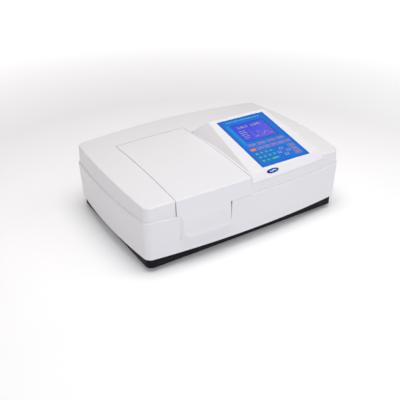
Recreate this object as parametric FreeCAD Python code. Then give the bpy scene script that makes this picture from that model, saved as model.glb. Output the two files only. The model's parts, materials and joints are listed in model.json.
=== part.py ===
import FreeCAD, Part
import math
import os

from FreeCAD import Placement, Rotation, Vector

# Bench-top double-beam spectrophotometer, in millimetres.
# +X is the user's right, +Y the rear, +Z up. z = 0 is the bench under the feet, and the
# origin is the middle of the whole instrument's footprint. The front faces -Y.

# Outer casing, seen from above: a rectangle whose four sides bow gently outwards.
HALF_WIDTH = 300.0
HALF_DEPTH = 202.9
MID_Y = 5.8
BOW_FRONT = 18.1
BOW_SIDE = 12.4
BOW_REAR = 11.9
CORNER_RADIUS = 22.0
SHARPEST_CORNER = 4.0

# Heights.
FOOT_HEIGHT = 12.0
TRAY_TOP = 39.5
SEAM_Z = 142.1
DRAFT_TOP_Z = 240.0
SKY_Z = 290.0
ROOF_FRONT = 178.1
ROOF_REAR = 191.0
ROOF_CROWN_ACROSS = 11.4
ROOF_CROWN_ALONG = 8.7

# How far each part of the casing stands inside the widest outline.
FOOT_INSET = 2.4
COVER_INSET = 3.2
COVER_TOP_INSET = 6.1
LID_TOP_INSET = 8.7
WALL = 3.0
EDGE_ROUND = 3.5
LANDING_WIDTH = 6.0
SEAM_BEVEL = (1.1, 1.4)
TRAY_INSET = 5.6

# Sample lid and the opening that it closes.
LID_LEFT = -220.0
LID_RIGHT = -12.0
LID_REAR = MID_Y + 108.5
LID_GAP = 1.4
HINGE_GAP = 2.0
RETURN_WALL = 2.5
LID_FOOT_Z = 142.6

# Handle tongue that hangs from the lid's front over the lower casing.
TONGUE_LEFT = -211.0
TONGUE_RIGHT = -74.6
TONGUE_BOTTOM = 78.0
TONGUE_PROUD = 2.5
TONGUE_FLANK_SLOPE = 0.585
TONGUE_GAP = 0.35
SLOT_WIDTH_LOW = 2.6
SLOT_WIDTH_HIGH = 9.1
LIP_PROUD = 6.5

# Lid hinge: hidden goosenecks that turn on an axis behind the lid's rear edge.
HINGE_Y = MID_Y + 140.0
HINGE_Z = 188.3
HINGE_ARMS_X = (-185.0, -47.0)
ARM_HALF = 4.0
ARM_INNER_R = 37.0
ARM_OUTER_R = 45.0
HINGE_PIN_R = 3.0
RUNNING_GAP = 0.05

# Console: a raised wedge with a sloping top, which carries the display and keys.
CONSOLE_X = 114.0
CONSOLE_HALF = 122.0
CONSOLE_BOTTOM = 172.0
CONSOLE_PITCH = 13.03
FLANK_LEAN = 0.7084
FLANK_SPLAY = -0.061
REAR_CREST_Y = MID_Y + 25.0
REAR_CREST_HALF = 94.3
CREST_ROUND = 5.0
REAR_SLOPE = 40.0
CONSOLE_REAR = MID_Y + 74.0
NOSE_TOP_Z = 190.5
NOSE_TOP_INSET = 15.5
NOSE_FOOT_INSET = 2.6
PANEL_CENTRE = Vector(115.4, MID_Y - 92.2, 217.0)

# Keypad overlay and display, measured along the sloping panel.
OVERLAY_WIDTH = 156.2
OVERLAY_LENGTH = 214.2
OVERLAY_THICK = 0.9
OVERLAY_SINK = 0.6
SCREEN_WIDTH = 105.0
SCREEN_LENGTH = 75.0
SCREEN_CENTRE = (2.0, 39.5)
KEY_GAP = 0.3
KEY_PROUD = 0.7
KEY_FLANGE = 0.9
KEY_CORNER = 1.5

# Keys in rows: name, middle across the panel, middle up the panel, width, height.
SOFT_PITCH = 31.5
MENU_PITCH = 22.5
DIGIT_PITCH = 15.0
DIGIT_ROW_PITCH = 15.6
DIGIT_LEFT = -58.0
DIGIT_TOP = -55.4
ARROW_CENTRE = (18.3, -71.6)
ARROW_REACH = (14.5, 13.0)
SIDE_KEY_X = 53.6
SIDE_KEY_TOP = -56.5
SIDE_KEY_PITCH = 15.9

# Sample compartment.
TUB_LEFT = -212.0
TUB_RIGHT = -22.0
TUB_FRONT = MID_Y - 190.0
TUB_REAR = MID_Y + 93.0
TUB_FLOOR = 82.0
TUB_RIM = 166.0
TUB_WALL = 2.0
FLANGE_TOP = 144.1
SEAL_HEIGHT = 6.0
BEAM_Z = 107.0
BEAMS_Y = (MID_Y - 70.0, MID_Y + 20.0)
CUVETTE = 12.5
CUVETTE_HEIGHT = 45.0
CUVETTE_WALL = 1.25
CUVETTE_X = -116.0
CUVETTE_BOTTOM = 92.0

# Optical bench and the floor of the base tray.
TRAY_FLOOR = 15.0
BENCH_BOTTOM = 42.0
BENCH_TOP = 50.0
BENCH_FRONT = MID_Y - 180.0
BENCH_REAR = MID_Y + 120.0
MIRROR_AT = (165.0, MID_Y + 55.0)
GRATING_AT = (70.0, MID_Y - 60.0)
WHEEL_AT = (112.0, MID_Y + 30.0)
LAMP_HOUSE_X = (190.0, 278.0)
LAMP_HOUSE_Y = (MID_Y + 0.0, MID_Y + 112.0)

# Rear panel and what it carries.
PANEL_FRONT = MID_Y + 197.0
PANEL_BACK = MID_Y + 199.0
WINDOW_HALF = 255.0
WINDOW_LOW = 48.0
WINDOW_HIGH = 134.0
INLET_X = 203.0
SWITCH_X = 169.0
INLET_Z = 79.0
FAN_X = -200.0
FAN_Z = 91.0
FAN_SIZE = 60.0
FAN_DEPTH = 25.0
FAN_BORE = 28.5
PORTS_Z = 78.0
USB_X = -20.0
SERIAL_X = 30.0
PANEL_SCREWS = [(x, z) for x in (-246.0, -60.0, 100.0, 246.0) for z in (54.0, 128.0)]

X_AXIS = Vector(1, 0, 0)
Y_AXIS = Vector(0, 1, 0)
Z_AXIS = Vector(0, 0, 1)


def box(x, y, z):
    """A block between pairs of low and high values."""
    corner = Vector(x[0], y[0], z[0])
    return Part.makeBox(x[1] - x[0], y[1] - y[0], z[1] - z[0], corner)


def rod(radius, start, end):
    """A round bar from one point to another."""
    along = end - start
    return Part.makeCylinder(radius, along.Length, start, along)


def joined(shapes):
    """The shapes fused into one solid, with seams between flush faces removed."""
    return shapes[0].multiFuse(shapes[1:]).removeSplitter()


def save(name, shape):
    shape.exportStep("parts/" + name + ".step")


def bow_radius(half_chord, bow):
    return (half_chord**2 + bow**2) / (2 * bow)


def corner_centre(first, second):
    """Centre of the arc that rounds the corner between two bowed sides."""
    gap = second["centre"] - first["centre"]
    reach = gap.Length
    inner_first = first["radius"] - first["corner"]
    inner_second = second["radius"] - second["corner"]
    along = (reach**2 + inner_first**2 - inner_second**2) / (2 * reach)
    across = math.sqrt(inner_first**2 - along**2)
    unit = gap / reach
    normal = Vector(unit.y, -unit.x, 0)
    base = first["centre"] + unit * along
    choices = (base + normal * across, base - normal * across)
    middle = Vector(0, MID_Y, base.z)
    return min(choices, key=lambda point: (point - middle).Length)


def outline(inset, z):
    """The casing's plan at one height: four bowed sides joined by tangent corners."""
    half_w = HALF_WIDTH - inset
    half_d = HALF_DEPTH - inset
    corner = max(CORNER_RADIUS - inset, SHARPEST_CORNER)
    front_r = bow_radius(half_w, BOW_FRONT)
    rear_r = bow_radius(half_w, BOW_REAR)
    side_r = bow_radius(half_d, BOW_SIDE)
    front = Vector(0, MID_Y - half_d - BOW_FRONT, z)
    right = Vector(half_w + BOW_SIDE, MID_Y, z)
    rear = Vector(0, MID_Y + half_d + BOW_REAR, z)
    left = Vector(-half_w - BOW_SIDE, MID_Y, z)
    sides = [
        {"peak": front, "centre": front + Y_AXIS * front_r, "radius": front_r},
        {"peak": right, "centre": right - X_AXIS * side_r, "radius": side_r},
        {"peak": rear, "centre": rear - Y_AXIS * rear_r, "radius": rear_r},
        {"peak": left, "centre": left + X_AXIS * side_r, "radius": side_r},
    ]
    for side in sides:
        side["corner"] = corner
    bends = []
    for index, side in enumerate(sides):
        following = sides[(index + 1) % 4]
        centre = corner_centre(side, following)
        leave = (centre - side["centre"]).normalize()
        enter = (centre - following["centre"]).normalize()
        middle = (leave + enter).normalize()
        bends.append([centre + way * corner for way in (leave, middle, enter)])
    edges = []
    for index, bend in enumerate(bends):
        peak = sides[(index + 1) % 4]["peak"]
        edges.append(Part.Arc(*bend).toShape())
        edges.append(Part.Arc(bend[2], peak, bends[(index + 1) % 4][0]).toShape())
    return Part.Wire(edges)


def form(levels):
    """A closed block through the casing's plan at pairs of height and inset."""
    return Part.makeLoft([outline(inset, z) for z, inset in levels], True, True)


def roof_height(x, y):
    """The top cover rises to the rear and is crowned both ways."""
    back = y - MID_Y
    slope = (ROOF_REAR - ROOF_FRONT) * (back + HALF_DEPTH) / (2 * HALF_DEPTH)
    across = ROOF_CROWN_ACROSS * (1 - (x / HALF_WIDTH) ** 2)
    along = ROOF_CROWN_ALONG * (1 - (back / HALF_DEPTH) ** 2)
    return ROOF_FRONT + slope + across + along


def under_roof(drop):
    """Everything below the roof surface lowered by a distance."""
    steps = [index / 4.0 for index in range(-4, 5)]
    grid = []
    for across in steps:
        x = across * (HALF_WIDTH + 40)
        ys = [MID_Y + along * (HALF_DEPTH + 40) for along in steps]
        grid.append([Vector(x, y, roof_height(x, y) - drop) for y in ys])
    surface = Part.BSplineSurface()
    surface.interpolate(grid)
    return surface.toShape().extrude(Vector(0, 0, -SKY_Z))


def round_top(shape, radius):
    """Rounds the edges around the crowned roof face."""
    roof = max(shape.Faces, key=lambda face: face.CenterOfMass.z)
    return shape.makeFillet(radius, roof.Edges)


def trim(shape, point, outward):
    """Cuts away what lies beyond a plane."""
    size = 1200.0
    slab = Part.makeBox(size, size, size, Vector(-size / 2, -size / 2, 0))
    slab.Placement = Placement(point, Rotation(Z_AXIS, outward))
    return shape.cut(slab)


def on_panel(shape):
    """Moves a shape from the sloping panel's own axes to the instrument's."""
    moved = shape.copy()
    tilt = Placement(PANEL_CENTRE, Rotation(X_AXIS, CONSOLE_PITCH))
    moved.Placement = tilt.multiply(shape.Placement)
    return moved


def rounded_pad(centre, width, height, low, high, corner):
    """A flat block with rounded upright edges, in the sloping panel's axes."""
    x = (centre[0] - width / 2, centre[0] + width / 2)
    y = (centre[1] - height / 2, centre[1] + height / 2)
    pad = box(x, y, (low, high))
    upright = [edge for edge in pad.Edges if abs(edge.tangentAt(0).z) > 0.9]
    return pad.makeFillet(corner, upright)


def console_sides(shrink):
    """A tall block between the console's flanks and rear slope, open to the front."""
    half = CONSOLE_HALF - shrink
    x = (CONSOLE_X - half, CONSOLE_X + half)
    y = (MID_Y - HALF_DEPTH - 40, CONSOLE_REAR - shrink)
    block = box(x, y, (CONSOLE_BOTTOM - shrink, SKY_Z))
    slope = math.radians(REAR_SLOPE)
    back = Vector(0, math.sin(slope), math.cos(slope))
    rise = math.tan(math.radians(CONSOLE_PITCH))
    crest = PANEL_CENTRE + Vector(0, 1, rise) * (REAR_CREST_Y - PANEL_CENTRE.y)
    block = trim(block, crest - back * shrink, back)
    for side in (-1, 1):
        flank = Vector(side, FLANK_SPLAY, FLANK_LEAN).normalize()
        edge = Vector(CONSOLE_X + side * REAR_CREST_HALF, crest.y, crest.z)
        block = trim(block, edge - flank * shrink, flank)
    return block


def console_form(shrink):
    """The console's closed wedge, with every face moved inwards by a distance."""
    rise = 2 * (NOSE_TOP_Z - CONSOLE_BOTTOM)
    run = 2 * (NOSE_TOP_INSET - NOSE_FOOT_INSET)
    low = CONSOLE_BOTTOM - shrink
    inset = NOSE_FOOT_INSET + shrink
    nose = form([(low, inset), (low + rise, inset + run)])
    behind_nose = (MID_Y - 150, MID_Y + HALF_DEPTH)
    tall = box((-HALF_WIDTH, HALF_WIDTH), behind_nose, (low, SKY_Z))
    pitch = math.radians(CONSOLE_PITCH)
    up = Vector(0, -math.sin(pitch), math.cos(pitch))
    block = console_sides(shrink).common(nose.fuse(tall))
    return trim(block, PANEL_CENTRE - up * shrink, up).removeSplitter()


def round_crest(block):
    """Rounds the four edges of the console's sloping top."""
    pitch = math.radians(CONSOLE_PITCH)
    up = Vector(0, -math.sin(pitch), math.cos(pitch))
    top = max(block.Faces, key=lambda face: face.CenterOfMass.dot(up))
    return block.makeFillet(CREST_ROUND, top.Edges)


def key_plan():
    """Every key's name, centre, width and height on the sloping panel."""
    keys = []
    for index in range(4):
        centre = ((index - 1.5) * SOFT_PITCH, -17.7)
        keys.append(("soft_key_" + str(index + 1), centre, 23.0, 8.0))
    menu = ("reset", "mode", "wavelength", "zero", "scan", "print")
    for index, name in enumerate(menu):
        centre = ((index - 2.5) * MENU_PITCH, -36.5)
        keys.append((name + "_key", centre, 16.5, 9.0))
    for index in range(10):
        column = index % 4
        row = index // 4
        centre = (DIGIT_LEFT + column * DIGIT_PITCH, DIGIT_TOP - row * DIGIT_ROW_PITCH)
        keys.append(("digit_key_" + str(index), centre, 11.0, 9.0))
    clear = (DIGIT_LEFT + 2.5 * DIGIT_PITCH, DIGIT_TOP - 2 * DIGIT_ROW_PITCH)
    keys.append(("clear_key", clear, 26.0, 9.0))
    arrows = {"up": (0, 1), "right": (1, 0), "left": (-1, 0), "down": (0, -1)}
    for name, (across, along) in arrows.items():
        centre = (
            ARROW_CENTRE[0] + across * ARROW_REACH[0],
            ARROW_CENTRE[1] + along * ARROW_REACH[1],
        )
        keys.append(("arrow_" + name + "_key", centre, 12.0, 9.0))
    for index, name in enumerate(("start", "stop", "enter")):
        centre = (SIDE_KEY_X, SIDE_KEY_TOP - index * SIDE_KEY_PITCH)
        keys.append((name + "_key", centre, 17.0, 10.0))
    return keys


def screen_pad(grow, low, high):
    width = SCREEN_WIDTH + 2 * grow
    length = SCREEN_LENGTH + 2 * grow
    return rounded_pad(SCREEN_CENTRE, width, length, low, high, 1.0)


def key_holes(low, high):
    """Openings that the keys pass through, with room all round."""
    holes = []
    for _, centre, width, height in key_plan():
        size = (width + 2 * KEY_GAP, height + 2 * KEY_GAP)
        holes.append(rounded_pad(centre, size[0], size[1], low, high, KEY_CORNER))
    return Part.makeCompound(holes)


def make_base_tray():
    x = HALF_WIDTH - TRAY_INSET
    y = HALF_DEPTH - TRAY_INSET
    outer = box((-x, x), (MID_Y - y, MID_Y + y), (FOOT_HEIGHT, TRAY_TOP))
    upright = [edge for edge in outer.Edges if abs(edge.tangentAt(0).z) > 0.9]
    outer = outer.makeFillet(CORNER_RADIUS - TRAY_INSET, upright)
    inner_x = x - WALL
    inner_y = y - WALL
    inner = box((-inner_x, inner_x), (MID_Y - inner_y, MID_Y + inner_y), (TRAY_FLOOR, 60))
    upright = [edge for edge in inner.Edges if abs(edge.tangentAt(0).z) > 0.9]
    inner = inner.makeFillet(CORNER_RADIUS - TRAY_INSET - WALL, upright)
    tray = outer.cut(inner)
    slots = []
    for index in range(9):
        slot_x = 60 + index * 12.0
        slots.append(box((slot_x, slot_x + 5), (MID_Y + 40, MID_Y + 100), (0, 30)))
    return tray.cut(Part.makeCompound(slots))


def make_rubber_feet():
    feet = []
    for x in (-250, 250):
        for y in (MID_Y - 150, MID_Y + 150):
            foot = Part.makeCone(13, 15, FOOT_HEIGHT, Vector(x, y, 0))
            socket = Part.makeCylinder(4, 5, Vector(x, y, 0))
            feet.append(foot.cut(socket))
    return Part.makeCompound(feet)


def notch_block():
    """The notch in the lower casing's front that the lid's tongue hangs in."""
    front = MID_Y - HALF_DEPTH - 40
    low = TONGUE_BOTTOM - 1.5
    corners = [
        Vector(TONGUE_LEFT - TONGUE_GAP, front, low),
        Vector(TONGUE_RIGHT + SLOT_WIDTH_LOW, front, low),
        Vector(TONGUE_RIGHT + SLOT_WIDTH_HIGH, front, SKY_Z),
        Vector(TONGUE_LEFT - TONGUE_GAP, front, SKY_Z),
    ]
    face = Part.Face(Part.makePolygon(corners + corners[:1]))
    return face.extrude(Vector(0, MID_Y - 196.0 - front, 0))


def make_lower_casing():
    bevel_in, bevel_down = SEAM_BEVEL
    levels = [(TRAY_TOP, FOOT_INSET), (SEAM_Z - bevel_down, 0), (SEAM_Z, bevel_in)]
    under_lid = box((LID_LEFT, LID_RIGHT), (-300, 0), (SEAM_Z - 10, SEAM_Z))
    plain_edge = form([(TRAY_TOP, FOOT_INSET), (SEAM_Z, 0)]).common(under_lid)
    outer = form(levels).fuse(plain_edge)
    inner = form([(TRAY_TOP + WALL, FOOT_INSET + WALL), (SEAM_Z + 1, WALL)])
    landing = form([(SEAM_Z - WALL, WALL - 0.5), (SEAM_Z, WALL - 0.5)])
    landing = landing.cut(
        form([(SEAM_Z - 10, WALL + LANDING_WIDTH), (SEAM_Z + 1, WALL + LANDING_WIDTH)])
    )
    foot_x = HALF_WIDTH - TRAY_INSET - 8
    foot_y = HALF_DEPTH - TRAY_INSET - 8
    foot_hole = box((-foot_x, foot_x), (MID_Y - foot_y, MID_Y + foot_y), (0, SEAM_Z))
    shell = outer.cut(inner).cut(foot_hole).fuse(landing)
    pocket_x = (TONGUE_LEFT - 6, TONGUE_RIGHT + 9)
    pocket_low = TONGUE_BOTTOM - 1.5
    pocket = box(pocket_x, (-300, MID_Y - 193.5), (pocket_low - WALL, SEAM_Z))
    pocket = pocket.common(form([(TRAY_TOP, FOOT_INSET + 1), (SEAM_Z, 1)]))
    shell = shell.fuse(pocket).cut(notch_block())
    window = box((-WINDOW_HALF, WINDOW_HALF), (PANEL_BACK - 1, 300), (WINDOW_LOW, WINDOW_HIGH))
    frame_x = WINDOW_HALF + RETURN_WALL
    frame = box(
        (-frame_x, frame_x),
        (PANEL_BACK, 300),
        (WINDOW_LOW - RETURN_WALL, WINDOW_HIGH + RETURN_WALL),
    )
    frame = frame.common(form([(TRAY_TOP, FOOT_INSET + 1), (SEAM_Z, 1)]))
    return shell.fuse(frame).cut(window).removeSplitter()


def make_upper_cover():
    levels = [(SEAM_Z, COVER_INSET), (DRAFT_TOP_Z, COVER_TOP_INSET)]
    outer = round_top(form(levels).common(under_roof(0)), EDGE_ROUND)
    hollow = form([(z - 1, inset + WALL) for z, inset in levels]).common(under_roof(WALL))
    opening = box(
        (LID_LEFT - LID_GAP, LID_RIGHT + LID_GAP),
        (-300, LID_REAR + HINGE_GAP),
        (SEAM_Z - 5, SKY_Z),
    )
    frame_box = box(
        (LID_LEFT - LID_GAP - RETURN_WALL, LID_RIGHT + LID_GAP + RETURN_WALL),
        (-300, LID_REAR + HINGE_GAP + RETURN_WALL),
        (FLANGE_TOP, SKY_Z),
    )
    returns = frame_box.common(outer)
    slots = []
    for arm_x in HINGE_ARMS_X:
        slot_y = (LID_REAR, LID_REAR + 12)
        slots.append(box((arm_x - 12, arm_x + 12), slot_y, (SEAM_Z, HINGE_Z + 5)))
    shell = outer.cut(hollow).fuse(returns).cut(opening).cut(console_sides(0))
    shell = shell.cut(Part.makeCompound(slots))
    return shell.removeSplitter()


def make_console_housing():
    shell = round_crest(console_form(0)).cut(console_form(WALL))
    sink = rounded_pad((0, 0), OVERLAY_WIDTH, OVERLAY_LENGTH, -OVERLAY_SINK, 20, 2.0)
    shell = shell.cut(on_panel(sink))
    shell = shell.cut(on_panel(key_holes(-20, 20)))
    return shell.cut(on_panel(screen_pad(0, -20, 20)))


def make_keypad_overlay():
    top = OVERLAY_THICK - OVERLAY_SINK
    gap = 0.2
    size = (OVERLAY_WIDTH - gap, OVERLAY_LENGTH - gap)
    sheet = rounded_pad((0, 0), size[0], size[1], -OVERLAY_SINK, top, 2.0)
    sheet = sheet.cut(key_holes(-20, 20)).cut(screen_pad(0, -20, 20))
    return on_panel(sheet)


def make_key(centre, width, height):
    """A key cap with a flange under the console's skin that stops it coming out."""
    top = OVERLAY_THICK - OVERLAY_SINK + KEY_PROUD
    cap = rounded_pad(centre, width, height, -4.2, top, KEY_CORNER)
    crown = [edge for edge in cap.Edges if edge.BoundBox.ZMin > top - 0.01]
    cap = cap.makeFillet(0.4, crown)
    wide = (width + 2 * KEY_FLANGE, height + 2 * KEY_FLANGE)
    flange = rounded_pad(centre, wide[0], wide[1], -4.2, -3.1, KEY_CORNER)
    return on_panel(cap.fuse(flange).removeSplitter())


def make_display_module():
    """Screen, its circuit board on standoffs, and a snap dome under each key."""
    glass = screen_pad(-0.3, -5.4, -0.2)
    carrier = screen_pad(4, -7.4, -5.4)
    board = box((-74, 74), (-100, 96), (-9.0, -7.4))
    posts = []
    for x in (-71, 71):
        for y in (-97, 0, 93):
            posts.append(Part.makeCylinder(2.5, 4.4, Vector(x, y, -7.4)))
    domes = []
    for _, centre, _, _ in key_plan():
        domes.append(Part.makeCylinder(3, 1.6, Vector(centre[0], centre[1], -7.4)))
    screen = glass.fuse(carrier)
    solids = [on_panel(solid) for solid in [screen, board] + posts + domes]
    return Part.makeCompound(solids)


def make_console_badge():
    """An oval plate stuck on the console's bevelled nose."""
    rise = NOSE_TOP_Z - CONSOLE_BOTTOM
    run = NOSE_TOP_INSET - NOSE_FOOT_INSET
    normal = Vector(0, -rise, run)
    middle = Vector(59.9, MID_Y - 209.0, 184.5)
    oval = Part.Ellipse(Vector(0, 0, 0), 18.5, 5.6).toShape()
    plate = Part.Face(Part.Wire([oval])).extrude(Vector(0, 0, 4))
    plate.Placement = Placement(middle, Rotation(Z_AXIS, normal))
    return plate.cut(console_form(0)).common(console_form(-0.8))


def make_sample_lid():
    levels = [(LID_FOOT_Z, 0), (DRAFT_TOP_Z, LID_TOP_INSET)]
    outer = round_top(form(levels).common(under_roof(0)), EDGE_ROUND)
    hollow = form([(z - 1, inset + WALL) for z, inset in levels]).common(under_roof(WALL))
    bounds = box((LID_LEFT, LID_RIGHT), (-300, LID_REAR), (0, SKY_Z))
    shell = outer.cut(hollow).common(bounds)
    tongue_levels = [
        (TONGUE_BOTTOM, -LIP_PROUD),
        (TONGUE_BOTTOM + 4, -LIP_PROUD),
        (TONGUE_BOTTOM + 13, -TONGUE_PROUD),
        (TONGUE_BOTTOM + 48, -TONGUE_PROUD),
        (LID_FOOT_Z + 4, 0.4),
    ]
    back_levels = [(TONGUE_BOTTOM - 1, 0.7), (LID_FOOT_Z + 5, 3.2)]
    tongue = form(tongue_levels).cut(form(back_levels))
    tongue_box = box((TONGUE_LEFT, TONGUE_RIGHT), (-300, 0), (0, SKY_Z))
    tongue = tongue.common(tongue_box)
    flank_foot = Vector(TONGUE_LEFT, MID_Y - HALF_DEPTH - 8.6, 0)
    tongue = trim(tongue, flank_foot, Vector(-TONGUE_FLANK_SLOPE, -1, 0))
    rim_x = (TUB_LEFT - 2, TUB_RIGHT + 2)
    rim_y = (TUB_FRONT - 2, TUB_REAR + 2)
    skirt_low = TUB_RIM + SEAL_HEIGHT + 0.2
    skirt = box(rim_x, rim_y, (skirt_low, SKY_Z))
    skirt_hole = box(
        (rim_x[0] + 2.4, rim_x[1] - 2.4), (rim_y[0] + 2.4, rim_y[1] - 2.4), (0, SKY_Z)
    )
    skirt = skirt.cut(skirt_hole).common(under_roof(WALL - 0.5))
    return joined([shell, tongue, skirt])


def wedge_prism(x, start, end, reach):
    """A pie slice about the hinge axis, between two angles above the forward way."""
    points = [Vector(x[0], HINGE_Y, HINGE_Z)]
    for angle in (start, (start + end) / 2, end):
        turn = math.radians(angle)
        y = HINGE_Y - reach * math.cos(turn)
        z = HINGE_Z + reach * math.sin(turn)
        points.append(Vector(x[0], y, z))
    face = Part.Face(Part.makePolygon(points + points[:1]))
    return face.extrude(Vector(x[1] - x[0], 0, 0))


def make_lid_hinge_arms():
    """Two goosenecks that pass under the cover's edge and lift the lid clear of it."""
    arms = []
    for middle in HINGE_ARMS_X:
        x = (middle - ARM_HALF, middle + ARM_HALF)
        start = Vector(x[0], HINGE_Y, HINGE_Z)
        end = Vector(x[1], HINGE_Y, HINGE_Z)
        neck = rod(ARM_OUTER_R, start, end).cut(rod(ARM_INNER_R, start, end))
        neck = neck.common(wedge_prism(x, -80, 30, 90))
        spoke = box(x, (-41, 0), (-3.5, 3.5))
        spoke.Placement = Placement(
            Vector(0, HINGE_Y, HINGE_Z), Rotation(X_AXIS, 75)
        ).multiply(spoke.Placement)
        hub = rod(7.5, start, end)
        foot = box((middle - 8, middle + 8), (MID_Y + 97, MID_Y + 103.5), (170, SKY_Z))
        foot = foot.cut(under_roof(WALL + 4))
        arm = joined([neck, spoke, hub, foot]).common(under_roof(WALL))
        arms.append(arm.cut(rod(HINGE_PIN_R + RUNNING_GAP, start, end)))
    return Part.makeCompound(arms)


def make_lid_hinge_brackets():
    """Two steel brackets on the compartment's rear wall, each with its hinge pin."""
    solids = []
    for middle in HINGE_ARMS_X:
        profile = [
            (TUB_REAR, 120),
            (TUB_REAR, 158),
            (HINGE_Y - 6, 194),
            (HINGE_Y + 7, 194),
            (HINGE_Y + 7, 180),
        ]
        cheeks = []
        for x in (middle - 7.6, middle + 4.6):
            points = [Vector(x, y, z) for y, z in profile]
            face = Part.Face(Part.makePolygon(points + points[:1]))
            cheeks.append(face.extrude(Vector(3, 0, 0)))
        web = box((middle - 7.6, middle + 7.6), (TUB_REAR, TUB_REAR + 2), (121, 150))
        pin = rod(
            HINGE_PIN_R,
            Vector(middle - 9, HINGE_Y, HINGE_Z),
            Vector(middle + 9, HINGE_Y, HINGE_Z),
        )
        solids.append(joined(cheeks + [web]).cut(pin))
        solids.append(pin)
    return Part.makeCompound(solids)


def make_sample_compartment():
    """The dark tub under the lid, with a flange on the casing and a window per beam."""
    x = (TUB_LEFT, TUB_RIGHT)
    y = (TUB_FRONT, TUB_REAR)
    walls = box(x, y, (TUB_FLOOR, TUB_RIM))
    lip = 4.0
    rim = box((x[0] - lip, x[1] + lip), (y[0] - lip, y[1] + lip), (TUB_RIM - 2, TUB_RIM))
    flange = box(
        (LID_LEFT - 3, LID_RIGHT + 3), (-300, TUB_REAR), (SEAM_Z, FLANGE_TOP)
    )
    flange = flange.common(form([(SEAM_Z - 1, 6.6), (SKY_Z, 6.6)]))
    hollow = box(
        (x[0] + TUB_WALL, x[1] - TUB_WALL),
        (y[0] + TUB_WALL, y[1] - TUB_WALL),
        (TUB_FLOOR + TUB_WALL, SKY_Z),
    )
    legs = []
    for leg_x in (x[0] + 12, x[1] - 12):
        for leg_y in (y[0] + 22, y[1] - 12):
            foot = Vector(leg_x, leg_y, BENCH_TOP)
            legs.append(rod(5, foot, Vector(leg_x, leg_y, TUB_FLOOR)))
    tub = joined([walls, rim, flange] + legs).cut(hollow)
    windows = []
    for beam_y in BEAMS_Y:
        start = Vector(x[0] - 5, beam_y, BEAM_Z)
        windows.append(rod(6, start, Vector(x[1] + 5, beam_y, BEAM_Z)))
    return tub.cut(Part.makeCompound(windows))


def make_lid_light_seal():
    """A soft rectangular gasket on the compartment's rim."""
    x = (TUB_LEFT - 3.5, TUB_RIGHT + 3.5)
    y = (TUB_FRONT - 3.5, TUB_REAR + 3.5)
    z = (TUB_RIM, TUB_RIM + SEAL_HEIGHT)
    ring = box(x, y, z)
    width = 5.0
    hole = box((x[0] + width, x[1] - width), (y[0] + width, y[1] - width), (0, SKY_Z))
    return ring.cut(hole)


def make_cell_holder():
    """A base plate with one open-topped pocket on each beam."""
    floor = TUB_FLOOR + TUB_WALL
    plate = box(
        (CUVETTE_X - 20, CUVETTE_X + 20),
        (BEAMS_Y[0] - 25, BEAMS_Y[1] + 25),
        (floor, floor + 6),
    )
    solids = [plate]
    for beam_y in BEAMS_Y:
        pocket = (CUVETTE_X - 11, CUVETTE_X + 11)
        solids.append(box(pocket, (beam_y - 11, beam_y + 11), (floor + 5, 128)))
    holder = joined(solids)
    half = CUVETTE / 2 + 0.25
    for beam_y in BEAMS_Y:
        well_x = (CUVETTE_X - half, CUVETTE_X + half)
        well = box(well_x, (beam_y - half, beam_y + half), (CUVETTE_BOTTOM, 200))
        start = Vector(CUVETTE_X - 30, beam_y, BEAM_Z)
        beam = rod(4, start, Vector(CUVETTE_X + 30, beam_y, BEAM_Z))
        holder = holder.cut(well).cut(beam)
    return holder


def make_cuvette(beam_y):
    """A square glass cell, open at the top."""
    half = CUVETTE / 2
    top = CUVETTE_BOTTOM + CUVETTE_HEIGHT
    outer = box(
        (CUVETTE_X - half, CUVETTE_X + half),
        (beam_y - half, beam_y + half),
        (CUVETTE_BOTTOM, top),
    )
    room = half - CUVETTE_WALL
    inner = box(
        (CUVETTE_X - room, CUVETTE_X + room),
        (beam_y - room, beam_y + room),
        (CUVETTE_BOTTOM + CUVETTE_WALL, top + 1),
    )
    return outer.cut(inner)


def make_optical_bench():
    """A cast plate on six posts, with the spindles of the three motor drives."""
    plate = box((-284, 284), (BENCH_FRONT, BENCH_REAR), (BENCH_BOTTOM, BENCH_TOP))
    solids = [plate]
    for x in (-260, -20, 260):
        for y in (BENCH_FRONT + 20, BENCH_REAR - 20):
            solids.append(rod(8, Vector(x, y, TRAY_FLOOR), Vector(x, y, BENCH_BOTTOM)))
    for x in (-240, 0, 240):
        rib_y = (BENCH_FRONT + 30, BENCH_REAR - 30)
        solids.append(box((x - 3, x + 3), rib_y, (BENCH_BOTTOM - 12, BENCH_BOTTOM)))
    bench = joined(solids)
    drives = []
    for x, y in (MIRROR_AT, GRATING_AT):
        motor = rod(14, Vector(x, y, BENCH_TOP), Vector(x, y, BENCH_TOP + 20))
        spindle = rod(2, Vector(x, y, BENCH_TOP + 20), Vector(x, y, BENCH_TOP + 32))
        drives.append(motor.fuse(spindle))
    x, y = WHEEL_AT
    stand = box((x + 8, x + 28), (y - 14, y + 14), (BENCH_TOP, BEAM_Z + 14))
    spindle = rod(2, Vector(x - 6, y, BEAM_Z), Vector(x + 8, y, BEAM_Z))
    drives.append(stand.fuse(spindle))
    return Part.makeCompound([bench] + drives)


def make_source_mirror():
    """A round mirror on a turntable that picks one of the two lamps."""
    x, y = MIRROR_AT
    table = rod(11, Vector(x, y, BENCH_TOP + 21), Vector(x, y, BENCH_TOP + 27))
    back = box((x - 2, x + 2), (y - 10, y + 10), (BENCH_TOP + 26, BENCH_TOP + 48))
    disc = rod(16, Vector(x - 2, y, BEAM_Z), Vector(x + 4, y, BEAM_Z))
    bore = rod(
        2 + RUNNING_GAP,
        Vector(x, y, BENCH_TOP + 20),
        Vector(x, y, BENCH_TOP + 33),
    )
    return joined([table, back, disc]).cut(bore)


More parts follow.
